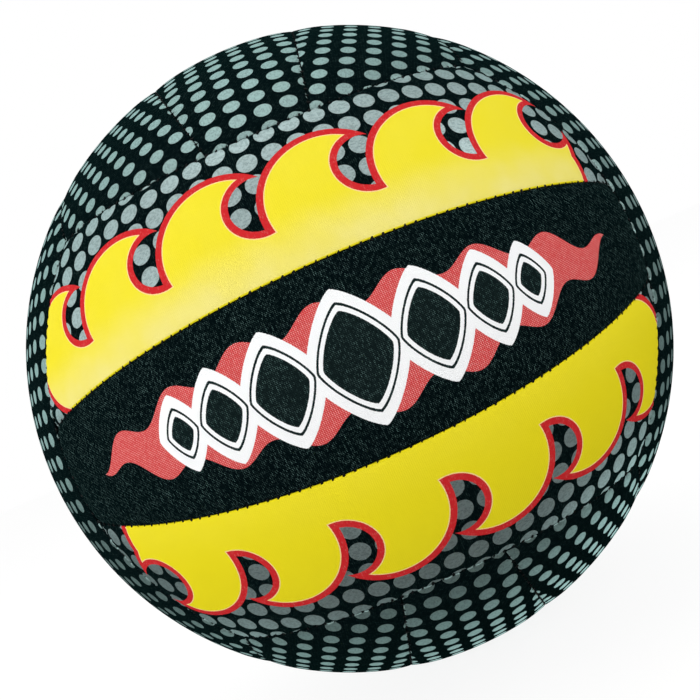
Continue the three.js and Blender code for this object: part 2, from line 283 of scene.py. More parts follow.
class Shell:
    """A strip's closed shell: its points by along, turn and depth, and its faces."""

    def __init__(self, strip):
        self.strip = strip
        self.along, self.turn, self.depth, self.faces = [], [], [], []
        self.count = 0

    def add(self, along, turn, depth):
        """Adds points and gives their numbers."""
        self.along.append(np.ravel(along))
        self.turn.append(np.ravel(turn))
        self.depth.append(np.broadcast_to(depth, np.shape(along)).ravel())
        first = self.count
        self.count += np.size(along)
        return np.arange(first, self.count)

    def ring(self, s, t, inset, depth, follow):
        """A loop drawn in from the outline. follow adds the dips of the open face."""
        along, turn = self.strip.angles(s, t, inset)
        dip = cover_dip(self.strip, along, turn) if follow else 0
        return self.add(along, turn, dip + depth)

    def circle(self, angles, radius, depth):
        x, y = radius * np.cos(angles), radius * np.sin(angles)
        z = np.sqrt(BALL_RADIUS**2 - x * x - y * y)
        return self.add(np.arcsin(x / BALL_RADIUS), np.arctan2(y, z), depth)

    def join(self, inner, outer):
        """Faces between two loops, of which one may have several points for one of the other."""
        n = min(len(inner), len(outer))
        a, b = len(inner) // n, len(outer) // n
        for i in range(n):
            top = [inner[(i * a + k) % len(inner)] for k in range(a + 1)]
            bottom = [outer[(i * b + k) % len(outer)] for k in range(b + 1)]
            self.faces.append([top[0], *bottom, *top[:0:-1]])

    def grid(self, steps_along, steps_across, inset, depth=None, hole=0):
        """A face of the strip: the open one follows its dips, and one with a depth faces in."""
        s = np.linspace(-1, 1, steps_along + 1)[:, None]
        t = np.linspace(-1, 1, steps_across + 1)[None, :]
        s, t = np.broadcast_arrays(s, t)
        along, turn = self.strip.angles(s, t, inset)
        open_face = depth is None
        numbers = self.add(along, turn, cover_dip(self.strip, along, turn) if open_face else depth)
        numbers = numbers.reshape(s.shape)
        mid_along, mid_across = steps_along // 2, steps_across // 2
        for i in range(steps_along):
            for j in range(steps_across):
                if -hole <= i - mid_along < hole and -hole <= j - mid_across < hole:
                    continue
                corners = [numbers[i, j], numbers[i + 1, j], numbers[i + 1, j + 1], numbers[i, j + 1]]
                self.faces.append(corners if open_face else corners[::-1])
        square = numbers[
            mid_along - hole:mid_along + hole + 1, mid_across - hole:mid_across + hole + 1
        ]
        return border(numbers), border(square)

    def angles(self):
        return np.concatenate(self.along), np.concatenate(self.turn)

    def points(self):
        """The points in millimetres, in the group's own axes."""
        return (BALL_RADIUS - np.concatenate(self.depth))[:, None] * point_at(*self.angles())


def cover_shell(strip, with_hole=False):
    """A panel: its open face, the rounded edge, the folded edge and the inside."""
    shell = Shell(strip)
    hole = HOLE_SQUARE if with_hole else 0
    coarser = INNER_COARSER // FINER
    across = strip.steps_across
    face, face_square = shell.grid(STEPS_ALONG, across, FACE_INSET, hole=hole)
    s, t = outline(STEPS_ALONG * FINER, across * FINER)
    fold = SEAM_HALF_GAP + ALLOWANCE_WIDTH
    loops = [face]
    for i in range(EDGE_STEPS + 1):
        lean = (i / EDGE_STEPS) * math.pi / 2
        inset = SEAM_HALF_GAP + (GROOVE_WIDTH - SEAM_HALF_GAP) * (1 - math.sin(lean))
        loops.append(shell.ring(s, t, inset, GROOVE_DEPTH * (1 - math.cos(lean)), True))
    loops.append(shell.ring(s, t, SEAM_HALF_GAP, ALLOWANCE_DEPTH, False))
    loops.append(shell.ring(s, t, fold, ALLOWANCE_DEPTH, False))
    loops.append(shell.ring(s, t, fold, PANEL_THICKNESS, False))
    inside, inside_square = shell.grid(
        STEPS_ALONG // coarser, across // coarser, fold, PANEL_THICKNESS, hole // coarser
    )
    loops.append(inside)
    for inner, outer in zip(loops, loops[1:]):
        shell.join(inner, outer)
    if with_hole:
        add_hole(shell, face_square, inside_square)
    return shell


def add_hole(shell, face_square, inside_square):
    """The round hole in the middle of a panel, between the squares left out of its two faces."""
    start = BALL_RADIUS * point_at(*(values[face_square] for values in shell.angles()))
    angles = np.arctan2(start[:, 1], start[:, 0])
    reach = np.hypot(start[:, 0], start[:, 1])
    loops = [face_square]
    for k in range(1, HOLE_RINGS + 1):
        share = k / HOLE_RINGS
        loops.append(shell.circle(angles, reach + (HOLE_RADIUS + HOLE_ROUND - reach) * share, 0))
    for k in range(1, HOLE_EDGE_STEPS + 1):
        lean = k / HOLE_EDGE_STEPS * math.pi / 2
        radius = HOLE_RADIUS + HOLE_ROUND * (1 - math.sin(lean))
        loops.append(shell.circle(angles, radius, HOLE_ROUND * (1 - math.cos(lean))))
    loops.append(shell.circle(angles, HOLE_RADIUS, PANEL_THICKNESS))
    loops.append(inside_square)
    for outer, inner in zip(loops, loops[1:]):
        shell.join(inner, outer)


# The print. Dots lie on a square lattice along each strip, which starts anywhere, as the strips are
# cut from printed cloth. They shrink away from the front and the back.

DOT_PITCH_ALONG = 6.85
DOT_PITCH_ACROSS = 7.05
PRINT_CENTRE_TURN = math.radians(29)  # the line of an outer strip that its lattice follows
DOT_DIAMETERS = {"print": (5.55, 5.0), "middle": (4.8, 3.9), "side": (4.4, 3.7)}  # near and far
DOT_SHRINK_START = math.radians(42)  # from the front or back
DOT_SHRINK_END = math.radians(80)
DOT_SHIFTS = {
    "front_upper": (1.28, 3.28),
    "front_lower": (1.57, 0.48),
    "top_left": (2.25, 4.17),
    "top_middle": (1.12, 3.43),
    "top_right": (3.18, 2.00),
    "left_front": (5.35, 6.73),
    "right_front": (0.25, 6.05),
    "bottom_right": (5.25, 3.85),
    "bottom_middle": (1.42, 6.20),
    "bottom_left": (1.66, 0.46),
}


def dot_shift(panel, draw):
    if panel in DOT_SHIFTS:
        return DOT_SHIFTS[panel]
    return draw.uniform(0, DOT_PITCH_ALONG), draw.uniform(0, DOT_PITCH_ACROSS)


def print_places(directions, index, shift):
    """A panel's places in its lattice, in pitches, from its directions in its group's axes."""
    tilt = (1 - index) * PRINT_CENTRE_TURN
    x, y, z = directions.T
    across = y * math.cos(tilt) - z * math.sin(tilt)
    out = y * math.sin(tilt) + z * math.cos(tilt)
    u = BALL_RADIUS * np.arctan2(x, out)
    v = BALL_RADIUS * np.arcsin(np.clip(across, -1, 1))
    return (u - shift[0]) / DOT_PITCH_ALONG, (v - shift[1]) / DOT_PITCH_ACROSS


def dot_radius(group, index, directions):
    """The dots' radius on a panel in millimetres, from directions in the ball's axes."""
    kind = "print" if group in ("front", "back") else "middle" if index == 1 else "side"
    near, far = DOT_DIAMETERS[kind]
    from_front = np.arccos(np.clip(np.abs(directions[:, 1]), 0, 1))
    share = smoothstep((from_front - DOT_SHRINK_START) / (DOT_SHRINK_END - DOT_SHRINK_START))
    return (near + (far - near) * share) / 2


# Materials

def feed(tree, slot, value):
    """Sets a node's input to a number, a colour or the output of another node."""
    if isinstance(value, Value):
        tree.links.new(value.socket, slot)
    elif isinstance(value, tuple) and len(value) == 3 and slot.type == "RGBA":
        slot.default_value = (*value, 1)
    else:
        slot.default_value = value


class Value:
    """The output of a node. Arithmetic on it adds Math nodes."""

    def __init__(self, tree, socket):
        self.tree = tree
        self.socket = socket

    def math(self, operation, *others):
        node = self.tree.nodes.new("ShaderNodeMath")
        node.operation = operation
        for slot, value in zip(node.inputs, (self, *others)):
            feed(self.tree, slot, value)
        return Value(self.tree, node.outputs[0])

    def __add__(self, other):
        return self.math("ADD", other)

    def __sub__(self, other):
        return self.math("SUBTRACT", other)

    def __mul__(self, other):
        return self.math("MULTIPLY", other)

    def __truediv__(self, other):
        return self.math("DIVIDE", other)

    def __neg__(self):
        return self.math("MULTIPLY", -1)

    def __abs__(self):
        return self.math("ABSOLUTE")

    def lowest(self, other):
        return self.math("MINIMUM", other)

    def highest(self, other):
        return self.math("MAXIMUM", other)

    def part(self):
        """How far it is past the last whole number."""
        return self.math("FRACT")

    def sine(self, turns_per_unit):
        """From 0 to 1, that many times a unit."""
        wave = self.math("MULTIPLY", 2 * math.pi * turns_per_unit).math("SINE")
        return wave * 0.5 + 0.5

    def ramp(self, start, end, low=0.0, high=1.0):
        """Rises smoothly from low to high as the value goes from start to end."""
        node = self.tree.nodes.new("ShaderNodeMapRange")
        node.interpolation_type = "SMOOTHSTEP"
        for slot, value in zip(node.inputs, (self, start, end, low, high)):
            feed(self.tree, slot, value)
        return Value(self.tree, node.outputs[0])


class Look:
    """A material's nodes around one Principled shader. The plain settings stay on its sockets."""

    def __init__(self, name, **settings):
        self.material = bpy.data.materials.new(name)
        self.material.use_nodes = True
        self.tree = self.material.node_tree
        self.shader = self.tree.nodes["Principled BSDF"]
        self.set(**settings)

    def set(self, **settings):
        for name, value in settings.items():
            feed(self.tree, self.shader.inputs[name.replace("_", " ")], value)

    def node(self, kind, inputs=(), output=0, **settings):
        node = self.tree.nodes.new(kind)
        for name, value in settings.items():
            setattr(node, name, value)
        for name, value in dict(inputs).items():
            feed(self.tree, node.inputs[name], value)
        return Value(self.tree, node.outputs[output])

    def attribute(self, name):
        """The three numbers of a point attribute."""
        vector = self.node("ShaderNodeAttribute", output="Vector", attribute_name=name)
        return self.split(vector)

    def split(self, vector):
        node = self.tree.nodes.new("ShaderNodeSeparateXYZ")
        feed(self.tree, node.inputs[0], vector)
        return [Value(self.tree, socket) for socket in node.outputs]

    def place(self, x, y, z=0.0):
        return self.node("ShaderNodeCombineXYZ", {"X": x, "Y": y, "Z": z})

    def position(self):
        """The point's place on the object, in metres."""
        return self.node("ShaderNodeTexCoord", output="Object")

    def noise(self, vector, scale, detail=2.0, roughness=0.5):
        inputs = {"Vector": vector, "Scale": scale, "Detail": detail, "Roughness": roughness}
        return self.node("ShaderNodeTexNoise", inputs)

    def mix(self, factor, first, second):
        """The first colour where the factor is 0 and the second where it is 1."""
        node = self.tree.nodes.new("ShaderNodeMix")
        node.data_type = "RGBA"
        colours = [slot for slot in node.inputs if slot.type == "RGBA"]
        feed(self.tree, node.inputs[0], factor)
        feed(self.tree, colours[0], first)
        feed(self.tree, colours[1], second)
        result = next(slot for slot in node.outputs if slot.type == "RGBA")
        return Value(self.tree, result)

    def bump(self, height, depth):
        """Relief from a height of 0 to 1. depth is in millimetres."""
        inputs = {"Height": height, "Distance": depth * MM, "Strength": 1.0}
        self.set(Normal=self.node("ShaderNodeBump", inputs))


def linear(red, green, blue):
    """A colour as a shader takes it, from its usual 0 to 255."""
    def one(level):
        share = level / 255
        return share / 12.92 if share <= 0.04045 else ((share + 0.055) / 1.055) ** 2.4
    return one(red), one(green), one(blue)


BLACK = linear(4, 14, 16)
BLACK_FIBRE = linear(186, 240, 232)
# painted shade: the near black that the cover takes in the seams' creases, where shade falls
SEAM_PAINTED_SHADE = linear(2, 6, 7)
SILVER = linear(173, 192, 192)
# panels face away from the front lamp, and partly a green tint
# the same silver ink, darker and greener for the dots of the side panels: partly painted shade, as
# those
GREEN_SILVER = linear(153, 181, 178)
# painted shade: the silver of the dots down in the knit's hollows
SILVER_HOLLOW_SHADE = linear(104, 118, 116)
YELLOW = linear(239, 223, 32)
# painted highlight: the pale yellow that stands in for the gloss of the yellow ink
HIGHLIGHT_YELLOW = linear(243, 236, 184)
RED = linear(204, 42, 46)
FRINGE = linear(250, 214, 150)
PALE_FIBRE = linear(250, 206, 200)
WHITE = linear(252, 253, 254)

WALE_PITCH = 0.52  # from one column of knit stitches to the next
COURSE_PITCH = 0.42
COURSE_LEAN = 0.5  # how far the two legs of a stitch slope, in courses
KNIT_DEPTH = 0.07
GRAIN_SCALE = 2.6  # for each millimetre
PATCH_SCALE = 0.09
EDGE_WANDER = 0.28  # how far the edges of the print stray
EDGE_BLUR = 0.06  # half the width over which one printed colour gives way to the next
FIBRE_RARITY = 3.5  # the higher, the fewer stitches show pale fibre
CLOTH_ROUGHNESS = 0.85
INK_SMOOTHNESS = 0.22  # how much less rough the ink is, and its metal once more
INK_FILL = 0.6  # the share of the relief that ink hides


class Knit:
    """The knit of one look: its relief, and a random number from 0 to 1 for each of its stitches."""

    def __init__(self, look, u, v):
        wale = u / WALE_PITCH
        lean = abs(wale.part() - 0.5)
        course = v / COURSE_PITCH + lean * COURSE_LEAN
        self.relief = course.sine(1.0) * (lean * -2 + 1).ramp(0.0, 0.55)
        self.tops = self.relief.ramp(0.6, 0.95)
        stitch = look.place(wale.math("FLOOR"), (course - 0.25).math("FLOOR"))
        self.chance = look.node("ShaderNodeTexWhiteNoise", {"Vector": stitch})
        place = look.place(u, v)
        grain = look.noise(place, GRAIN_SCALE, detail=3, roughness=0.7)
        self.patches = look.noise(place, PATCH_SCALE, detail=2)
        self.rough_edge = (grain - 0.5) * EDGE_WANDER
        self.gap = look.attribute("edge")[0]


def cover_look(name, art, fibre_share):
    """The knit cover with its print. art gives its colour, the share of ink and the metal in it."""
    look = Look(
        name,
        Sheen_Weight=0.02,
        Sheen_Roughness=0.35,
        Sheen_Tint=(0.08, 0.58, 0.5, 1),
        Specular_IOR_Level=0.0,
        Specular_Tint=(0.74, 1.0, 0.98, 1),
    )
    cell_u, cell_v, radius = look.attribute("lattice")
    knit = Knit(look, cell_u * DOT_PITCH_ALONG, cell_v * DOT_PITCH_ACROSS)
    fibre = knit.tops * knit.chance.math("POWER", FIBRE_RARITY)
    fibre = fibre * knit.patches.ramp(0.2, 0.8, 0.6, 1.0)
    black = look.mix(fibre * fibre_share, BLACK, BLACK_FIBRE)
    colour, ink, metal = art(look, black, (cell_u, cell_v, radius), knit)
    # painted shade: the colour turns near black in each seam's crease, where shade falls
    clear_of_painted_shade = knit.gap.ramp(SEAM_HALF_GAP, 0.2)
    metal = metal * knit.gap.ramp(0.15, GROOVE_WIDTH)
    look.set(Base_Color=look.mix(clear_of_painted_shade, SEAM_PAINTED_SHADE, colour), Metallic=metal)
    look.set(Roughness=(ink + metal) * -INK_SMOOTHNESS + CLOTH_ROUGHNESS)
    look.bump(knit.relief * (ink * -INK_FILL + 1), KNIT_DEPTH)
    return look.material


SILVER_METAL = 0.93


def add_dots(look, ground, cells, knit, silver):
    """Dots of silvery ink over a ground, with painted shade in the knit's hollows that varies by
    stitch, and the share of ink.
    """
    cell_u, cell_v, radius = cells
    x = ((cell_u + 0.5).part() - 0.5) * DOT_PITCH_ALONG
    y = ((cell_v + 0.5).part() - 0.5) * DOT_PITCH_ACROSS
    away = (x * x + y * y).math("SQRT") + knit.rough_edge
    ink = (radius - away).ramp(-EDGE_BLUR, EDGE_BLUR)
    # painted shade: the silver darkens in the knit's hollows, more or less from one stitch to the next
    # at random
    hollows = knit.relief * -0.4 + 0.7
    random_share = knit.chance.ramp(0.2, 1.0) * 0.7 + 0.15
    return look.mix(ink, ground, look.mix(hollows * random_share, silver, SILVER_HOLLOW_SHADE)), ink


def dotted_art(look, black, cells, knit):
    # GREEN_SILVER paints shade onto the side panels' dots
    colour, ink = add_dots(look, black, cells, knit, GREEN_SILVER)
    return colour, ink, ink * SILVER_METAL


def disc(x, y, centre_x, centre_y, radius):
    """How far a point lies outside a disc."""
    across = x - centre_x
    up = y - centre_y
    return (across * across + up * up).math("SQRT") - radius


def rounded_box(x, y, half_width, half_height, radius):
    """How far a point lies outside a box with round corners, about the origin."""
    past = abs(x) - (half_width - radius)
    above = abs(y) - (half_height - radius)
    out_x, out_y = past.highest(0.0), above.highest(0.0)
    reach = (out_x * out_x + out_y * out_y).math("SQRT")
    return reach + past.highest(above).lowest(0.0) - radius


def paint(look, ground, outside, colour, grow=0.0):
    """Paints over the ground inside a shape, given how far each point lies outside it."""
    share = (outside * -1 + grow).ramp(-EDGE_BLUR, EDGE_BLUR)
    return look.mix(share, ground, colour), share


OUTLINE_WIDTH = 2.1
OUTLINE_FIBRE = 0.2
OUTLINE_FIBRE_RARITY = 6.0
FRINGE_WIDTH = 0.28
UPPER_HIGHLIGHT = 1.0  # painted highlight: how much the yellow pales towards the middle band, where its gloss would catch the light, over and under it
LOWER_HIGHLIGHT = 0.06
HIGHLIGHT_WIDTH = 16.0  # from the band
HIGHLIGHT_START, HIGHLIGHT_END = 0.06, 0.5  # its share far from the band and beside it
SEA_LEVEL = 16.5
SEA_HALF_LENGTH = 84.0
SEA_CORNER = 12.0
WAVE_PITCH = 29.0
WAVE_BACK = (-4.0, -1.5, 16.5)  # centre and radius of the disc that makes a wave's round back
WAVE_HOLLOW = (7.4, 3.6, 9.6)  # and of the one that hollows its front
LAST_WAVE = 1.5  # one more lies past it


def waves_art(look, black, cells, knit):
    """A yellow sea of curling waves along the middle band, with a red line round it, over dots."""
    along, rise, highlight_share = look.attribute("motif")
    ground, dots_ink = add_dots(look, black, cells, knit, SILVER)
    step = ((along / WAVE_PITCH - 0.5).math("ROUND") + 0.5).highest(-LAST_WAVE).lowest(LAST_WAVE)
    x = along - step * WAVE_PITCH
    y = rise - SEA_LEVEL
    water = rounded_box(along, rise, SEA_HALF_LENGTH, SEA_LEVEL, SEA_CORNER)
    shifts = (-WAVE_PITCH, 0.0, WAVE_PITCH)
    hollows = [disc(x - shift, y, *WAVE_HOLLOW) for shift in shifts]
    for hollow in hollows:
        water = water.highest(-hollow)
    for shift, hollow in zip(shifts, hollows):
        water = water.lowest(disc(x - shift, y, *WAVE_BACK).highest(-hollow))
    water = water + knit.rough_edge
    # painted highlight: the yellow pales towards the band, most on the upper strips, which face the
    # light, and stops just short of the seam, where the saturated edge stands in for light bounced in
    # the groove
    painted_highlight = rise.ramp(HIGHLIGHT_WIDTH, 0.0, HIGHLIGHT_START, HIGHLIGHT_END)
    painted_highlight = painted_highlight * knit.patches.ramp(0.25, 0.75, 0.6, 1.0)
    yellow = look.mix(painted_highlight * highlight_share * rise.ramp(0.4, 0.75), YELLOW, HIGHLIGHT_YELLOW)
    fibre = knit.relief * knit.chance.math("POWER", OUTLINE_FIBRE_RARITY)
    red = look.mix(fibre * OUTLINE_FIBRE, RED, PALE_FIBRE)
    colour, outline = paint(look, ground, water, red, OUTLINE_WIDTH)
    colour, _ = paint(look, colour, water, FRINGE, FRINGE_WIDTH)
    colour, _ = paint(look, colour, water, yellow)
    silver = dots_ink * (outline * -1 + 1)
    return colour, dots_ink.highest(outline), silver * SILVER_METAL


# Each lozenge's centre along the band, half its width and half its height
LOZENGES = ((0.0, 10.5, 14.0), (19.5, 8.6, 11.6), (35.5, 6.8, 9.2), (48.0, 5.0, 6.8))
LOZENGE_BULGE = 1.3  # 1 gives straight sides and sharp corners, 2 an ellipse
BULGE_STRETCH = 1.15  # lengthens distances from a bulged side, which come out short
WHITE_RIM = 2.3
BLACK_LINE = 0.55
WHITE_LINE = 1.0
BLACK_INK_PALENESS = 0.009  # printed black is a little paler than the black cloth
RIBBON_HALF_LENGTH = 80.0
RIBBON_HALF_HEIGHT = 13.5
RIBBON_TAPER = 2.2  # the higher, the nearer to its ends it narrows
RIBBON_PALENESS = 0.04
RIPPLE_PITCH = 21.0
RIPPLE_HEIGHT = 2.4


def lozenge(x, y, centre, half_width, half_height):
    """Roughly how far a point lies outside a lozenge with rounded corners."""
    steep = half_width * half_height / math.hypot(half_width, half_height)
    across = (abs(x - centre) / half_width).math("POWER", LOZENGE_BULGE)
    up = (abs(y) / half_height).math("POWER", LOZENGE_BULGE)
    return ((across + up).math("POWER", 1 / LOZENGE_BULGE) - 1) * steep * BULGE_STRETCH


def lozenges_art(look, black, cells, knit):
    """A row of lozenges with white rims, largest in the middle, on a red ribbon."""
    along, height, _ = look.attribute("motif")
    edge = knit.rough_edge
    far = abs(along)
    row = lozenge(far, height, *LOZENGES[0])
    for place in LOZENGES[1:]:
        row = row.lowest(lozenge(far, height, *place))
    row = row + edge
    taper = (far / RIBBON_HALF_LENGTH).math("POWER", RIBBON_TAPER) * -1 + 1
    ripple = (along * (2 * math.pi / RIPPLE_PITCH)).math("SINE") * RIPPLE_HEIGHT
    ribbon = abs(height + ripple) - taper * RIBBON_HALF_HEIGHT + edge
    fibre = knit.tops * (knit.chance * 0.7 + 0.3)
    red = look.mix(fibre + RIBBON_PALENESS, RED, PALE_FIBRE)
    # painted shade: the white greys a little with the knit's relief
    white = look.mix(knit.relief * 0.08, WHITE, SILVER)
    colour, ink = paint(look, black, ribbon, red)
    colour, rim = paint(look, colour, row, white, WHITE_RIM)
    black_ink = look.mix(BLACK_INK_PALENESS, black, BLACK_FIBRE)
    depth = 0.0
    for width, layer in ((BLACK_LINE, black_ink), (WHITE_LINE, white), (0.0, black_ink)):
        colour, core = paint(look, colour, row, layer, depth)
        depth -= width
    return colour, ink.highest(rim) * (core * -1 + 1), ink * 0.0


CLOTH_SLANT_X, CLOTH_SLANT_Y = 0.6, 0.8  # so that the weave shows on upright faces too
CLOTH_GRAIN_SCALE = 900.0  # for each metre, as are the next two
RUBBER_GRAIN_SCALE = 1500.0
BLOOM_SCALE = 60.0
BLOOM_ROUGHNESS = 0.15
WEAVE_DEPTH = 0.12
RUBBER_GRAIN_DEPTH = 0.03
TWIST_DEPTH = 0.06


def cloth_look(name, light, dark, pitch):
    """Plain woven cloth, by place on the object."""
    look = Look(name, Roughness=0.9, Sheen_Weight=0.2)
    x, y, z = look.split(look.position())
    across = ((x + z * CLOTH_SLANT_X) * (1 / (pitch * MM))).sine(0.5)
    down = ((y + z * CLOTH_SLANT_Y) * (1 / (pitch * MM))).sine(0.5)
    weave = across * down + (across * -1 + 1) * (down * -1 + 1)
    grain = look.noise(look.position(), CLOTH_GRAIN_SCALE, detail=3)
    look.set(Base_Color=look.mix(weave * grain.ramp(0.2, 0.8, 0.5, 1.0), dark, light))
    look.bump(weave, WEAVE_DEPTH)
    return look.material


def rubber_look(name, light, dark, roughness):
    """Moulded rubber with a fine grain and a faint bloom."""
    look = Look(name, Specular_IOR_Level=0.45)
    grain = look.noise(look.position(), RUBBER_GRAIN_SCALE, detail=4)
    bloom = look.noise(look.position(), BLOOM_SCALE, detail=3)
    look.set(Base_Color=look.mix(bloom.ramp(0.35, 0.75), dark, light))
    look.set(Roughness=bloom.ramp(0.3, 0.8, roughness, roughness + BLOOM_ROUGHNESS))
    look.bump(grain, RUBBER_GRAIN_DEPTH)
    return look.material


def thread_look():
    """Twisted black thread. The lay attribute runs along each stitch and round it."""
    look = Look("stitch_thread", Roughness=0.7, Specular_IOR_Level=0.1)
    along, around, _ = look.attribute("lay")
    twist = (along + around).sine(1.0)
    look.set(Base_Color=look.mix(twist, linear(5, 8, 9), linear(17, 21, 22)))
    look.bump(twist, TWIST_DEPTH)
    return look.material


KNIT_DOTS = cover_look("knit_dots", dotted_art, fibre_share=0.08)
KNIT_PRINT = cover_look("knit_waves", waves_art, fibre_share=0.11)
KNIT_BAND = cover_look("knit_lozenges", lozenges_art, fibre_share=0.3)
BACKING = cloth_look("backing_weave", linear(216, 210, 194), linear(168, 160, 142), 0.45)
PATCH = cloth_look("patch_weave", linear(200, 196, 184), linear(150, 144, 130), 0.6)
BLADDER = rubber_look("butyl_bladder", linear(54, 54, 54), linear(38, 38, 39), 0.42)
VALVE = rubber_look("valve_rubber", linear(52, 52, 53), linear(34, 34, 36), 0.5)
THREAD = thread_look()


# Assembly of the cover

def panel_material(group, index):
    if group not in ("front", "back"):
        return KNIT_DOTS, "cover_dots"
    return (KNIT_BAND, "cover_band") if index == 1 else (KNIT_PRINT, "cover_print")


def build_panels():
    shells = {
        "outer": cover_shell(OUTER_STRIP),
        "middle": cover_shell(MIDDLE_STRIP),
        "holed": cover_shell(MIDDLE_STRIP, with_hole=True),
    }
    draw = random.Random(SEED)
    for group, (_, _, strips) in GROUPS.items():
        for index, strip in enumerate(strips):
            kind = "outer" if index != 1 else "holed" if group == "top" else "middle"
            shell = shells[kind]
            half_turn = -1 if index == 2 else 1
            own = shell.points() * (half_turn, half_turn, 1)
            made = make_object(f"cover_{group}_{strip}", own @ axes_of(group), shell.faces)
            directions = own / np.linalg.norm(own, axis=1)[:, None]
            cells = print_places(directions, index, dot_shift(f"{group}_{strip}", draw))
            radius = dot_radius(group, index, directions @ axes_of(group))
            give_attribute(made, "lattice", np.stack([*cells, radius], 1))
            along, turn = shell.angles()
            gap = edge_gap(shell.strip, along, turn)
            give_attribute(made, "edge", np.stack([gap, gap, gap], 1))
            start = 0 if index == 1 else MIDDLE_TURN
            rise = BALL_RADIUS * np.cos(along) * (turn - start)
            # painted highlight: its strength on each strip, full on the upper ones and faint on the
            # lower ones
            highlight_share = np.full(rise.shape, UPPER_HIGHLIGHT if index == 0 else LOWER_HIGHLIGHT)
            give_attribute(made, "motif", np.stack([BALL_RADIUS * along, rise, highlight_share], 1))
            material, slot = panel_material(group, index)
            dress(made, material, slot, f"panel_{group}_{strip}")


# Stitches: short loops of thread across the grooves

THREAD_RADIUS = 0.42
THREAD_FLATNESS = 0.5
THREAD_END_RADIUS = 0.08
THREAD_SIDES = 6
STITCH_REACH = 0.8  # from the seam to where the thread goes into the cover
STITCH_POINTS = 9
STITCH_SLANT = 0.3  # how far a stitch runs along the seam from one end to the other
STITCH_SIZES = (0.6, 1.15)  # the least and greatest share of that thickness and reach
STITCH_RISE = 0.3  # of its middle line over the cover, as a share of the thread's radius
TAUT_REACH = 0.5  # up to here from the seam, the thread runs straight over the groove
DIVE_SHARE = 0.4  # of a stitch's reach, over which the thread goes into the cover
END_CLEARANCE = 1.2  # from a seam's end to its last stitch, in half pitches
TURN_BETWEEN_RINGS = 0.5  # of the thread's twist
INNER_SEAM_POINTS = 601
LOOK_AHEAD = 0.1  # along a seam, to find which way it runs


def stitch_height(away):
    """The thread's height against the full ball, at this distance from the seam."""
    surface = -sag(away) - edge_drop(away) - PUCKER_DEPTH * smoothstep(1 - away / PUCKER_WIDTH)
    taut = -sag(TAUT_REACH) - edge_drop(TAUT_REACH) - PUCKER_DEPTH
    dive = smoothstep((away / STITCH_REACH - 1 + DIVE_SHARE) / DIVE_SHARE) * THREAD_RADIUS
    return np.maximum(surface, taut) + STITCH_RISE * THREAD_RADIUS - dive


def seam_points():
    """The four seams of a group's thread: for each, directions and places along it."""
    end = point_at(NEXT_ALONG, side_turn(NEXT_ALONG))[:, [2, 0, 1]]
    reach = end_along(MIDDLE_TURN)
    along = np.linspace(-reach, reach, INNER_SEAM_POINTS)
    for side in (-1, 1):
        yield end * (side, 1, 1), SIDE_LENGTHS
        yield point_at(along, np.full(along.shape, side * MIDDLE_TURN)), BALL_RADIUS * along


def stitch_rings(centre, ahead, size):
    """The rings of points of one stitch, for a seam's direction and the way it runs."""
    beside = np.cross(centre, ahead)
    share = np.linspace(-1, 1, STITCH_POINTS)
    path = []
    for x in share:
        away = abs(x) * STITCH_REACH * size
        direction = centre + x * size * (STITCH_REACH * beside + STITCH_SLANT * ahead) / BALL_RADIUS
        direction /= np.linalg.norm(direction)
        path.append(direction * (BALL_RADIUS + stitch_height(away)))
    path = np.array(path)
    forward = np.gradient(path, axis=0)
    forward /= np.linalg.norm(forward, axis=1)[:, None]
    side = ahead - forward * (forward @ ahead)[:, None]
    side /= np.linalg.norm(side, axis=1)[:, None]
    up = np.cross(forward, side)
    angle = np.linspace(0, 2 * math.pi, THREAD_SIDES, endpoint=False)
    circle = np.cos(angle)[None, :, None] * side[:, None, :] + np.sin(angle)[None, :, None] * (
        THREAD_FLATNESS * up[:, None, :]
    )
    radius = THREAD_RADIUS + (THREAD_END_RADIUS - THREAD_RADIUS) * np.abs(share)
    return path[:, None, :] + size * radius[:, None, None] * circle


def tube_faces(rings, sides, first):
    """The faces of a tube with closed ends, whose points start at a number."""
    faces = []
    for i in range(rings - 1):
        for j in range(sides):
            a, b = first + i * sides + j, first + i * sides + (j + 1) % sides
            faces.append([a, a + sides, b + sides, b])
    faces.append([first + j for j in range(sides)])
    faces.append([first + (rings - 1) * sides + j for j in range(sides - 1, -1, -1)])
    return faces


def build_thread(group):
    points, faces, lay = [], [], []
    draw = random.Random(SEED)
    for directions, places in seam_points():
        inside = places[-1] - END_CLEARANCE * STITCH_PITCH / 2
        count = int(inside / STITCH_PITCH)
        for k in range(-count, count + 1):
            centre, later = (
                np.array([np.interp(place, places, directions[:, i]) for i in range(3)])
                for place in (k * STITCH_PITCH, k * STITCH_PITCH + LOOK_AHEAD)
            )
            centre /= np.linalg.norm(centre)
            ahead = later - centre * (later @ centre)
            ahead /= np.linalg.norm(ahead)
            rings = stitch_rings(centre, ahead, draw.uniform(*STITCH_SIZES))
            faces += tube_faces(STITCH_POINTS, THREAD_SIDES, len(points))
            points += rings.reshape(-1, 3).tolist()
            for i in range(STITCH_POINTS):
                for j in range(THREAD_SIDES):
                    lay.append((i * TURN_BETWEEN_RINGS, j / THREAD_SIDES, 0))
    made = make_object(f"stitches_{group}", np.array(points) @ axes_of(group), faces)
    give_attribute(made, "lay", lay)
    dress(made, THREAD, "seam_thread", f"thread_{group}")


# The valve, turned about the Z axis

VALVE_STEPS = 72
CORNER_POINTS = 5


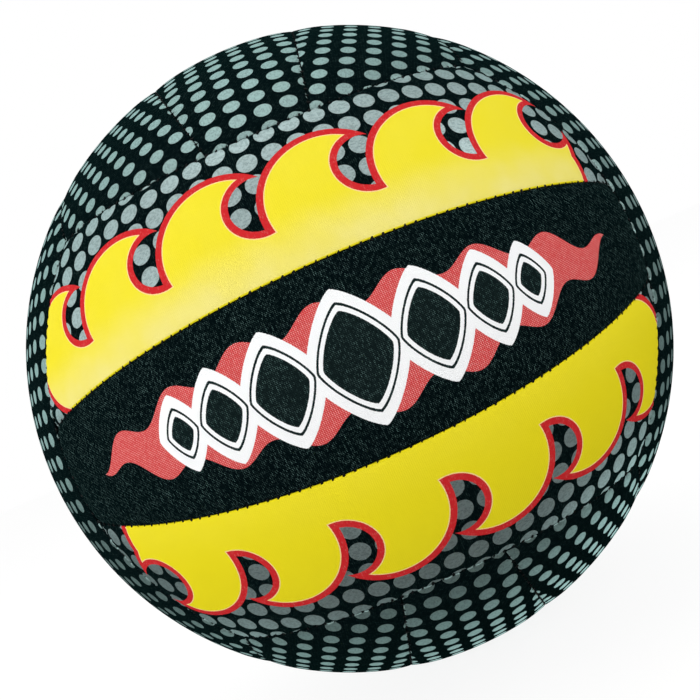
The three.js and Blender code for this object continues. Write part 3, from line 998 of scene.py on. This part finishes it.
def turned(name, profile):
    """A closed shape from a profile of (distance from the axis, height), from the axis to the axis."""
    points, rows = [], []
    for radius, height in profile:
        if radius == 0:
            rows.append([len(points)] * VALVE_STEPS)
            points.append((0, 0, height))
            continue
        rows.append(list(range(len(points), len(points) + VALVE_STEPS)))
        for i in range(VALVE_STEPS):
            angle = 2 * math.pi * i / VALVE_STEPS
            points.append((radius * math.cos(angle), radius * math.sin(angle), height))
    faces = []
    for low, high in zip(rows, rows[1:]):
        for i in range(VALVE_STEPS):
            j = (i + 1) % VALVE_STEPS
            corners = [low[i], low[j], high[j], high[i]]
            faces.append(list(dict.fromkeys(corners)))
    return make_object(name, points, faces)


def rounded(centre_x, centre_z, radius, start, end):
    """Points of an arc from one angle to another, in degrees, about a centre."""
    angles = np.radians(np.linspace(start, end, CORNER_POINTS))
    return [(centre_x + radius * math.cos(a), centre_z + radius * math.sin(a)) for a in angles]


def levels(node):
    """The heights of a packed turned piece, each with its points' distances from the axis."""
    found = {}
    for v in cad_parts[node].data.vertices:
        x, y, z = v.co / MM
        found.setdefault(round(z, 2), set()).add(round(math.hypot(x, y), 2))
    return {height: sorted(found[height]) for height in sorted(found)}


def build_valve_stem():
    """The valve's body: a tail inside the bladder, the flange and the neck with its bore."""
    found = levels("valve_body")
    bottom, bore_end, flange_bottom, flange_top, top = found
    tail, flange = found[flange_bottom]
    bore, face = found[top]
    soft, sharp = 0.5, 0.3  # the radii of its rounded corners
    body = turned("valve_stem", [
        (0, bottom),
        *rounded(tail - soft, bottom + soft, soft, -90, 0),
        (tail, flange_bottom),
        *rounded(flange - soft, flange_bottom + soft, soft, -90, 0),
        *rounded(flange - sharp, flange_top - sharp, sharp, 0, 90),
        (face, flange_top),
        *rounded(face - soft, top - soft, soft, 0, 90),
        *rounded(bore + sharp, top - sharp, sharp, 90, 180),
        (bore, bore_end),
        (0, bore_end),
    ])
    dress(body, VALVE, "valve_rubber", "valve_body")


def build_valve_core():
    """The soft plug in the bore, with the needle's hole in its top."""
    found = levels("valve_plug")
    bottom, hole_end, top = found
    hole, radius = found[top]
    edge, funnel = 0.3, 0.5  # the radii of its corners and of the hole's mouth
    plug = turned("valve_core", [
        (0, bottom),
        *rounded(radius - edge, bottom + edge, edge, -90, 0),
        *rounded(radius - edge, top - edge, edge, 0, 90),
        *rounded(hole + funnel, top - funnel, funnel, 90, 180),
        (hole, hole_end),
        (0, hole_end),
    ])
    dress(plug, VALVE, "valve_rubber", "valve_plug")


def dress_hidden_parts():
    """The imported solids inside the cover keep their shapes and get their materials."""
    looks = {"bladder": BLADDER, "valve_patch": PATCH}
    for name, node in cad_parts.items():
        material = BACKING if name.startswith("lining_") else looks.get(name)
        if material:
            node.data.materials.clear()
            node.data.materials.append(material)


build_panels()
for group in GROUPS:
    build_thread(group)
build_valve_stem()
build_valve_core()
dress_hidden_parts()


# Camera: almost level with the ball's middle, rolled so that the front strips rise to the right

CAMERA_DISTANCE = 2.965 * BALL_RADIUS * MM  # in metres
FOCAL_LENGTH = 46.5
SENSOR_WIDTH = 36.0
CAMERA_ROLL = math.radians(23.95)
CAMERA_PITCH = math.radians(1.43)
CAMERA_YAW = math.radians(0.56)
FRAME_PIXELS = 700
BALL_CENTRE_PIXEL = (349.77, 348.67)


def build_camera():
    """Adds the camera and gives the turn from its axes to the ball's."""
    # Rows are the ball's axes seen with +X to the right, +Z up and -Y towards the viewer.
    facing = Matrix(((1, 0, 0), (0, 0, 1), (0, -1, 0)))
    turn = Matrix.Rotation(CAMERA_ROLL, 3, "Z") @ Matrix.Rotation(CAMERA_PITCH, 3, "X")
    to_camera = turn @ Matrix.Rotation(CAMERA_YAW, 3, "Y") @ facing
    data = bpy.data.cameras.new("camera")
    data.sensor_fit = "HORIZONTAL"
    data.sensor_width = SENSOR_WIDTH
    data.lens = FOCAL_LENGTH
    data.shift_x = (FRAME_PIXELS / 2 - BALL_CENTRE_PIXEL[0]) / FRAME_PIXELS
    data.shift_y = (BALL_CENTRE_PIXEL[1] - FRAME_PIXELS / 2) / FRAME_PIXELS
    data.clip_start = 0.01
    camera = bpy.data.objects.new("camera", data)
    rotation = to_camera.transposed()
    place = rotation @ Vector((0, 0, CAMERA_DISTANCE))
    camera.matrix_world = Matrix.Translation(place) @ rotation.to_4x4()
    bpy.context.scene.collection.objects.link(camera)
    bpy.context.scene.camera = camera
    return rotation


LAMP_SIZE = 0.8  # in metres, as are their distances from the ball
# Each lamp's direction in the camera's axes, its distance and its power
LAMPS = {
    "front": ((-0.45, -0.15, 0.88), 1.1, 8.3),
    "left": ((-0.9, -0.25, 0.45), 0.9, 1.1),
    "top_left": ((-0.35, 0.9, 0.25), 0.9, 1.6),
    "top_right": ((0.5, 0.72, 0.48), 0.9, 2.4),
    "right": ((0.85, 0.55, 0.3), 0.9, 2.7),
}


def build_light(name, towards, distance, power):
    """A soft square lamp that shines at the ball from a direction in the ball's axes."""
    data = bpy.data.lights.new(name, "AREA")
    data.shape = "SQUARE"
    data.size = LAMP_SIZE
    data.energy = power
    lamp = bpy.data.objects.new(name, data)
    direction = Vector(towards).normalized()
    turn = direction.to_track_quat("Z", "Y").to_matrix()
    lamp.matrix_world = Matrix.Translation(direction * distance) @ turn.to_4x4()
    bpy.context.scene.collection.objects.link(lamp)


def background_rays(tree):
    """Two values: 1 for the camera's own rays, and 1 for rays off metal or through glass."""
    path = tree.nodes.new("ShaderNodeLightPath")
    camera, glossy, through = (
        Value(tree, path.outputs[f"Is {kind} Ray"]) for kind in ("Camera", "Glossy", "Transmission")
    )
    return camera, glossy.highest(through)


FLOOR_HALF = 3000
FLOOR_DARKER, FLOOR_LIGHTER = (0.4, 0.4, 0.4), (0.46, 0.46, 0.46)
FLOOR_MOTTLE_SCALE = 3.0
FLOOR_MIRRORED = (0.2, 0.2, 0.2)  # outside the pool, to the rays that show the background: darker than the floor is, it paints shade into the dots' reflections
FLOOR_SEEN = (0.85, 0.85, 0.85)  # to the camera
FLOOR_GLOW = 1.1
FLOOR_GLOW_SHARE = 0.8

# Painted light: a glowing pool of floor round the ball's foot, seen only by rays off the ball, which
# its dots mirror. Each pair is where it starts and where it is full: from the front to the back, from
# the left to the right and inwards, in metres.
POOL_GLOW = 1.5
POOL_FRONT = (-0.09, -0.02)
POOL_LEFT = (-0.08, 0.03)
POOL_LEFT_SHARE = 0.48  # what is left of it on the left
POOL_RIM = (0.18, 0.07)


def build_floor():
    """A pale floor that the ball rests on, white to the camera but for the ball's shadow."""
    corners = [(-1, -1), (1, -1), (1, 1), (-1, 1)]
    points = [(x * FLOOR_HALF, y * FLOOR_HALF, -BALL_RADIUS) for x, y in corners]
    floor = make_object("floor", points, [[0, 1, 2, 3]])
    look = Look("pale_floor", Roughness=0.9, Specular_IOR_Level=0.1)
    mottle = look.noise(look.position(), FLOOR_MOTTLE_SCALE)
    tree = look.tree
    camera, glossy = background_rays(tree)
    mottled = look.mix(mottle, FLOOR_DARKER, FLOOR_LIGHTER)
    reflected = look.mix(glossy, mottled, FLOOR_MIRRORED)
    look.set(Base_Color=look.mix(camera, reflected, FLOOR_SEEN))
    x, y, _ = look.split(look.position())
    away = (x * x + y * y).math("SQRT")
    # painted light: the pool glows for rays off the ball only, and is no lamp
    pool = y.ramp(*POOL_FRONT) * x.ramp(*POOL_LEFT, POOL_LEFT_SHARE) * away.ramp(*POOL_RIM)
    glow = tree.nodes.new("ShaderNodeEmission")
    feed(tree, glow.inputs["Strength"], glossy * (POOL_GLOW - FLOOR_GLOW) + FLOOR_GLOW)
    mix = tree.nodes.new("ShaderNodeMixShader")
    feed(tree, mix.inputs[0], (camera * FLOOR_GLOW_SHARE).highest(glossy * pool))
    tree.links.new(look.shader.outputs[0], mix.inputs[1])
    tree.links.new(glow.outputs[0], mix.inputs[2])
    tree.links.new(mix.outputs[0], tree.nodes["Material Output"].inputs[0])
    floor.data.materials.append(look.material)


ROOM_LIGHT = 0.1
BACKDROP_LIGHT = 1.0
BACKDROP_SIDE = (-0.68, 0.24, -0.69)  # where it is brightest, in the camera's axes
BACKDROP_EDGE = (-0.1, 0.7)  # cosines of the angles from there at which it starts and is full


def build_world():
    """White to the camera. The ball sees a white backdrop behind it and a dim room in front."""
    world = bpy.data.worlds.new("studio")
    bpy.context.scene.world = world
    world.use_nodes = True
    tree = world.node_tree
    background = tree.nodes["Background"]
    background.inputs["Color"].default_value = (1, 1, 1, 1)
    coordinates = tree.nodes.new("ShaderNodeTexCoord")
    facing = tree.nodes.new("ShaderNodeVectorMath")
    facing.operation = "DOT_PRODUCT"
    tree.links.new(coordinates.outputs["Generated"], facing.inputs[0])
    facing.inputs[1].default_value = camera_turn @ Vector(BACKDROP_SIDE)
    nearness = Value(tree, facing.outputs["Value"])
    backdrop = nearness.ramp(*BACKDROP_EDGE, ROOM_LIGHT, BACKDROP_LIGHT)
    camera, _ = background_rays(tree)
    feed(tree, background.inputs["Strength"], backdrop.highest(camera))


camera_turn = build_camera()
build_world()
build_floor()
for name, (side, distance, power) in LAMPS.items():
    build_light(name, camera_turn @ Vector(side), distance, power)

bpy.context.scene.view_settings.view_transform = "Standard"
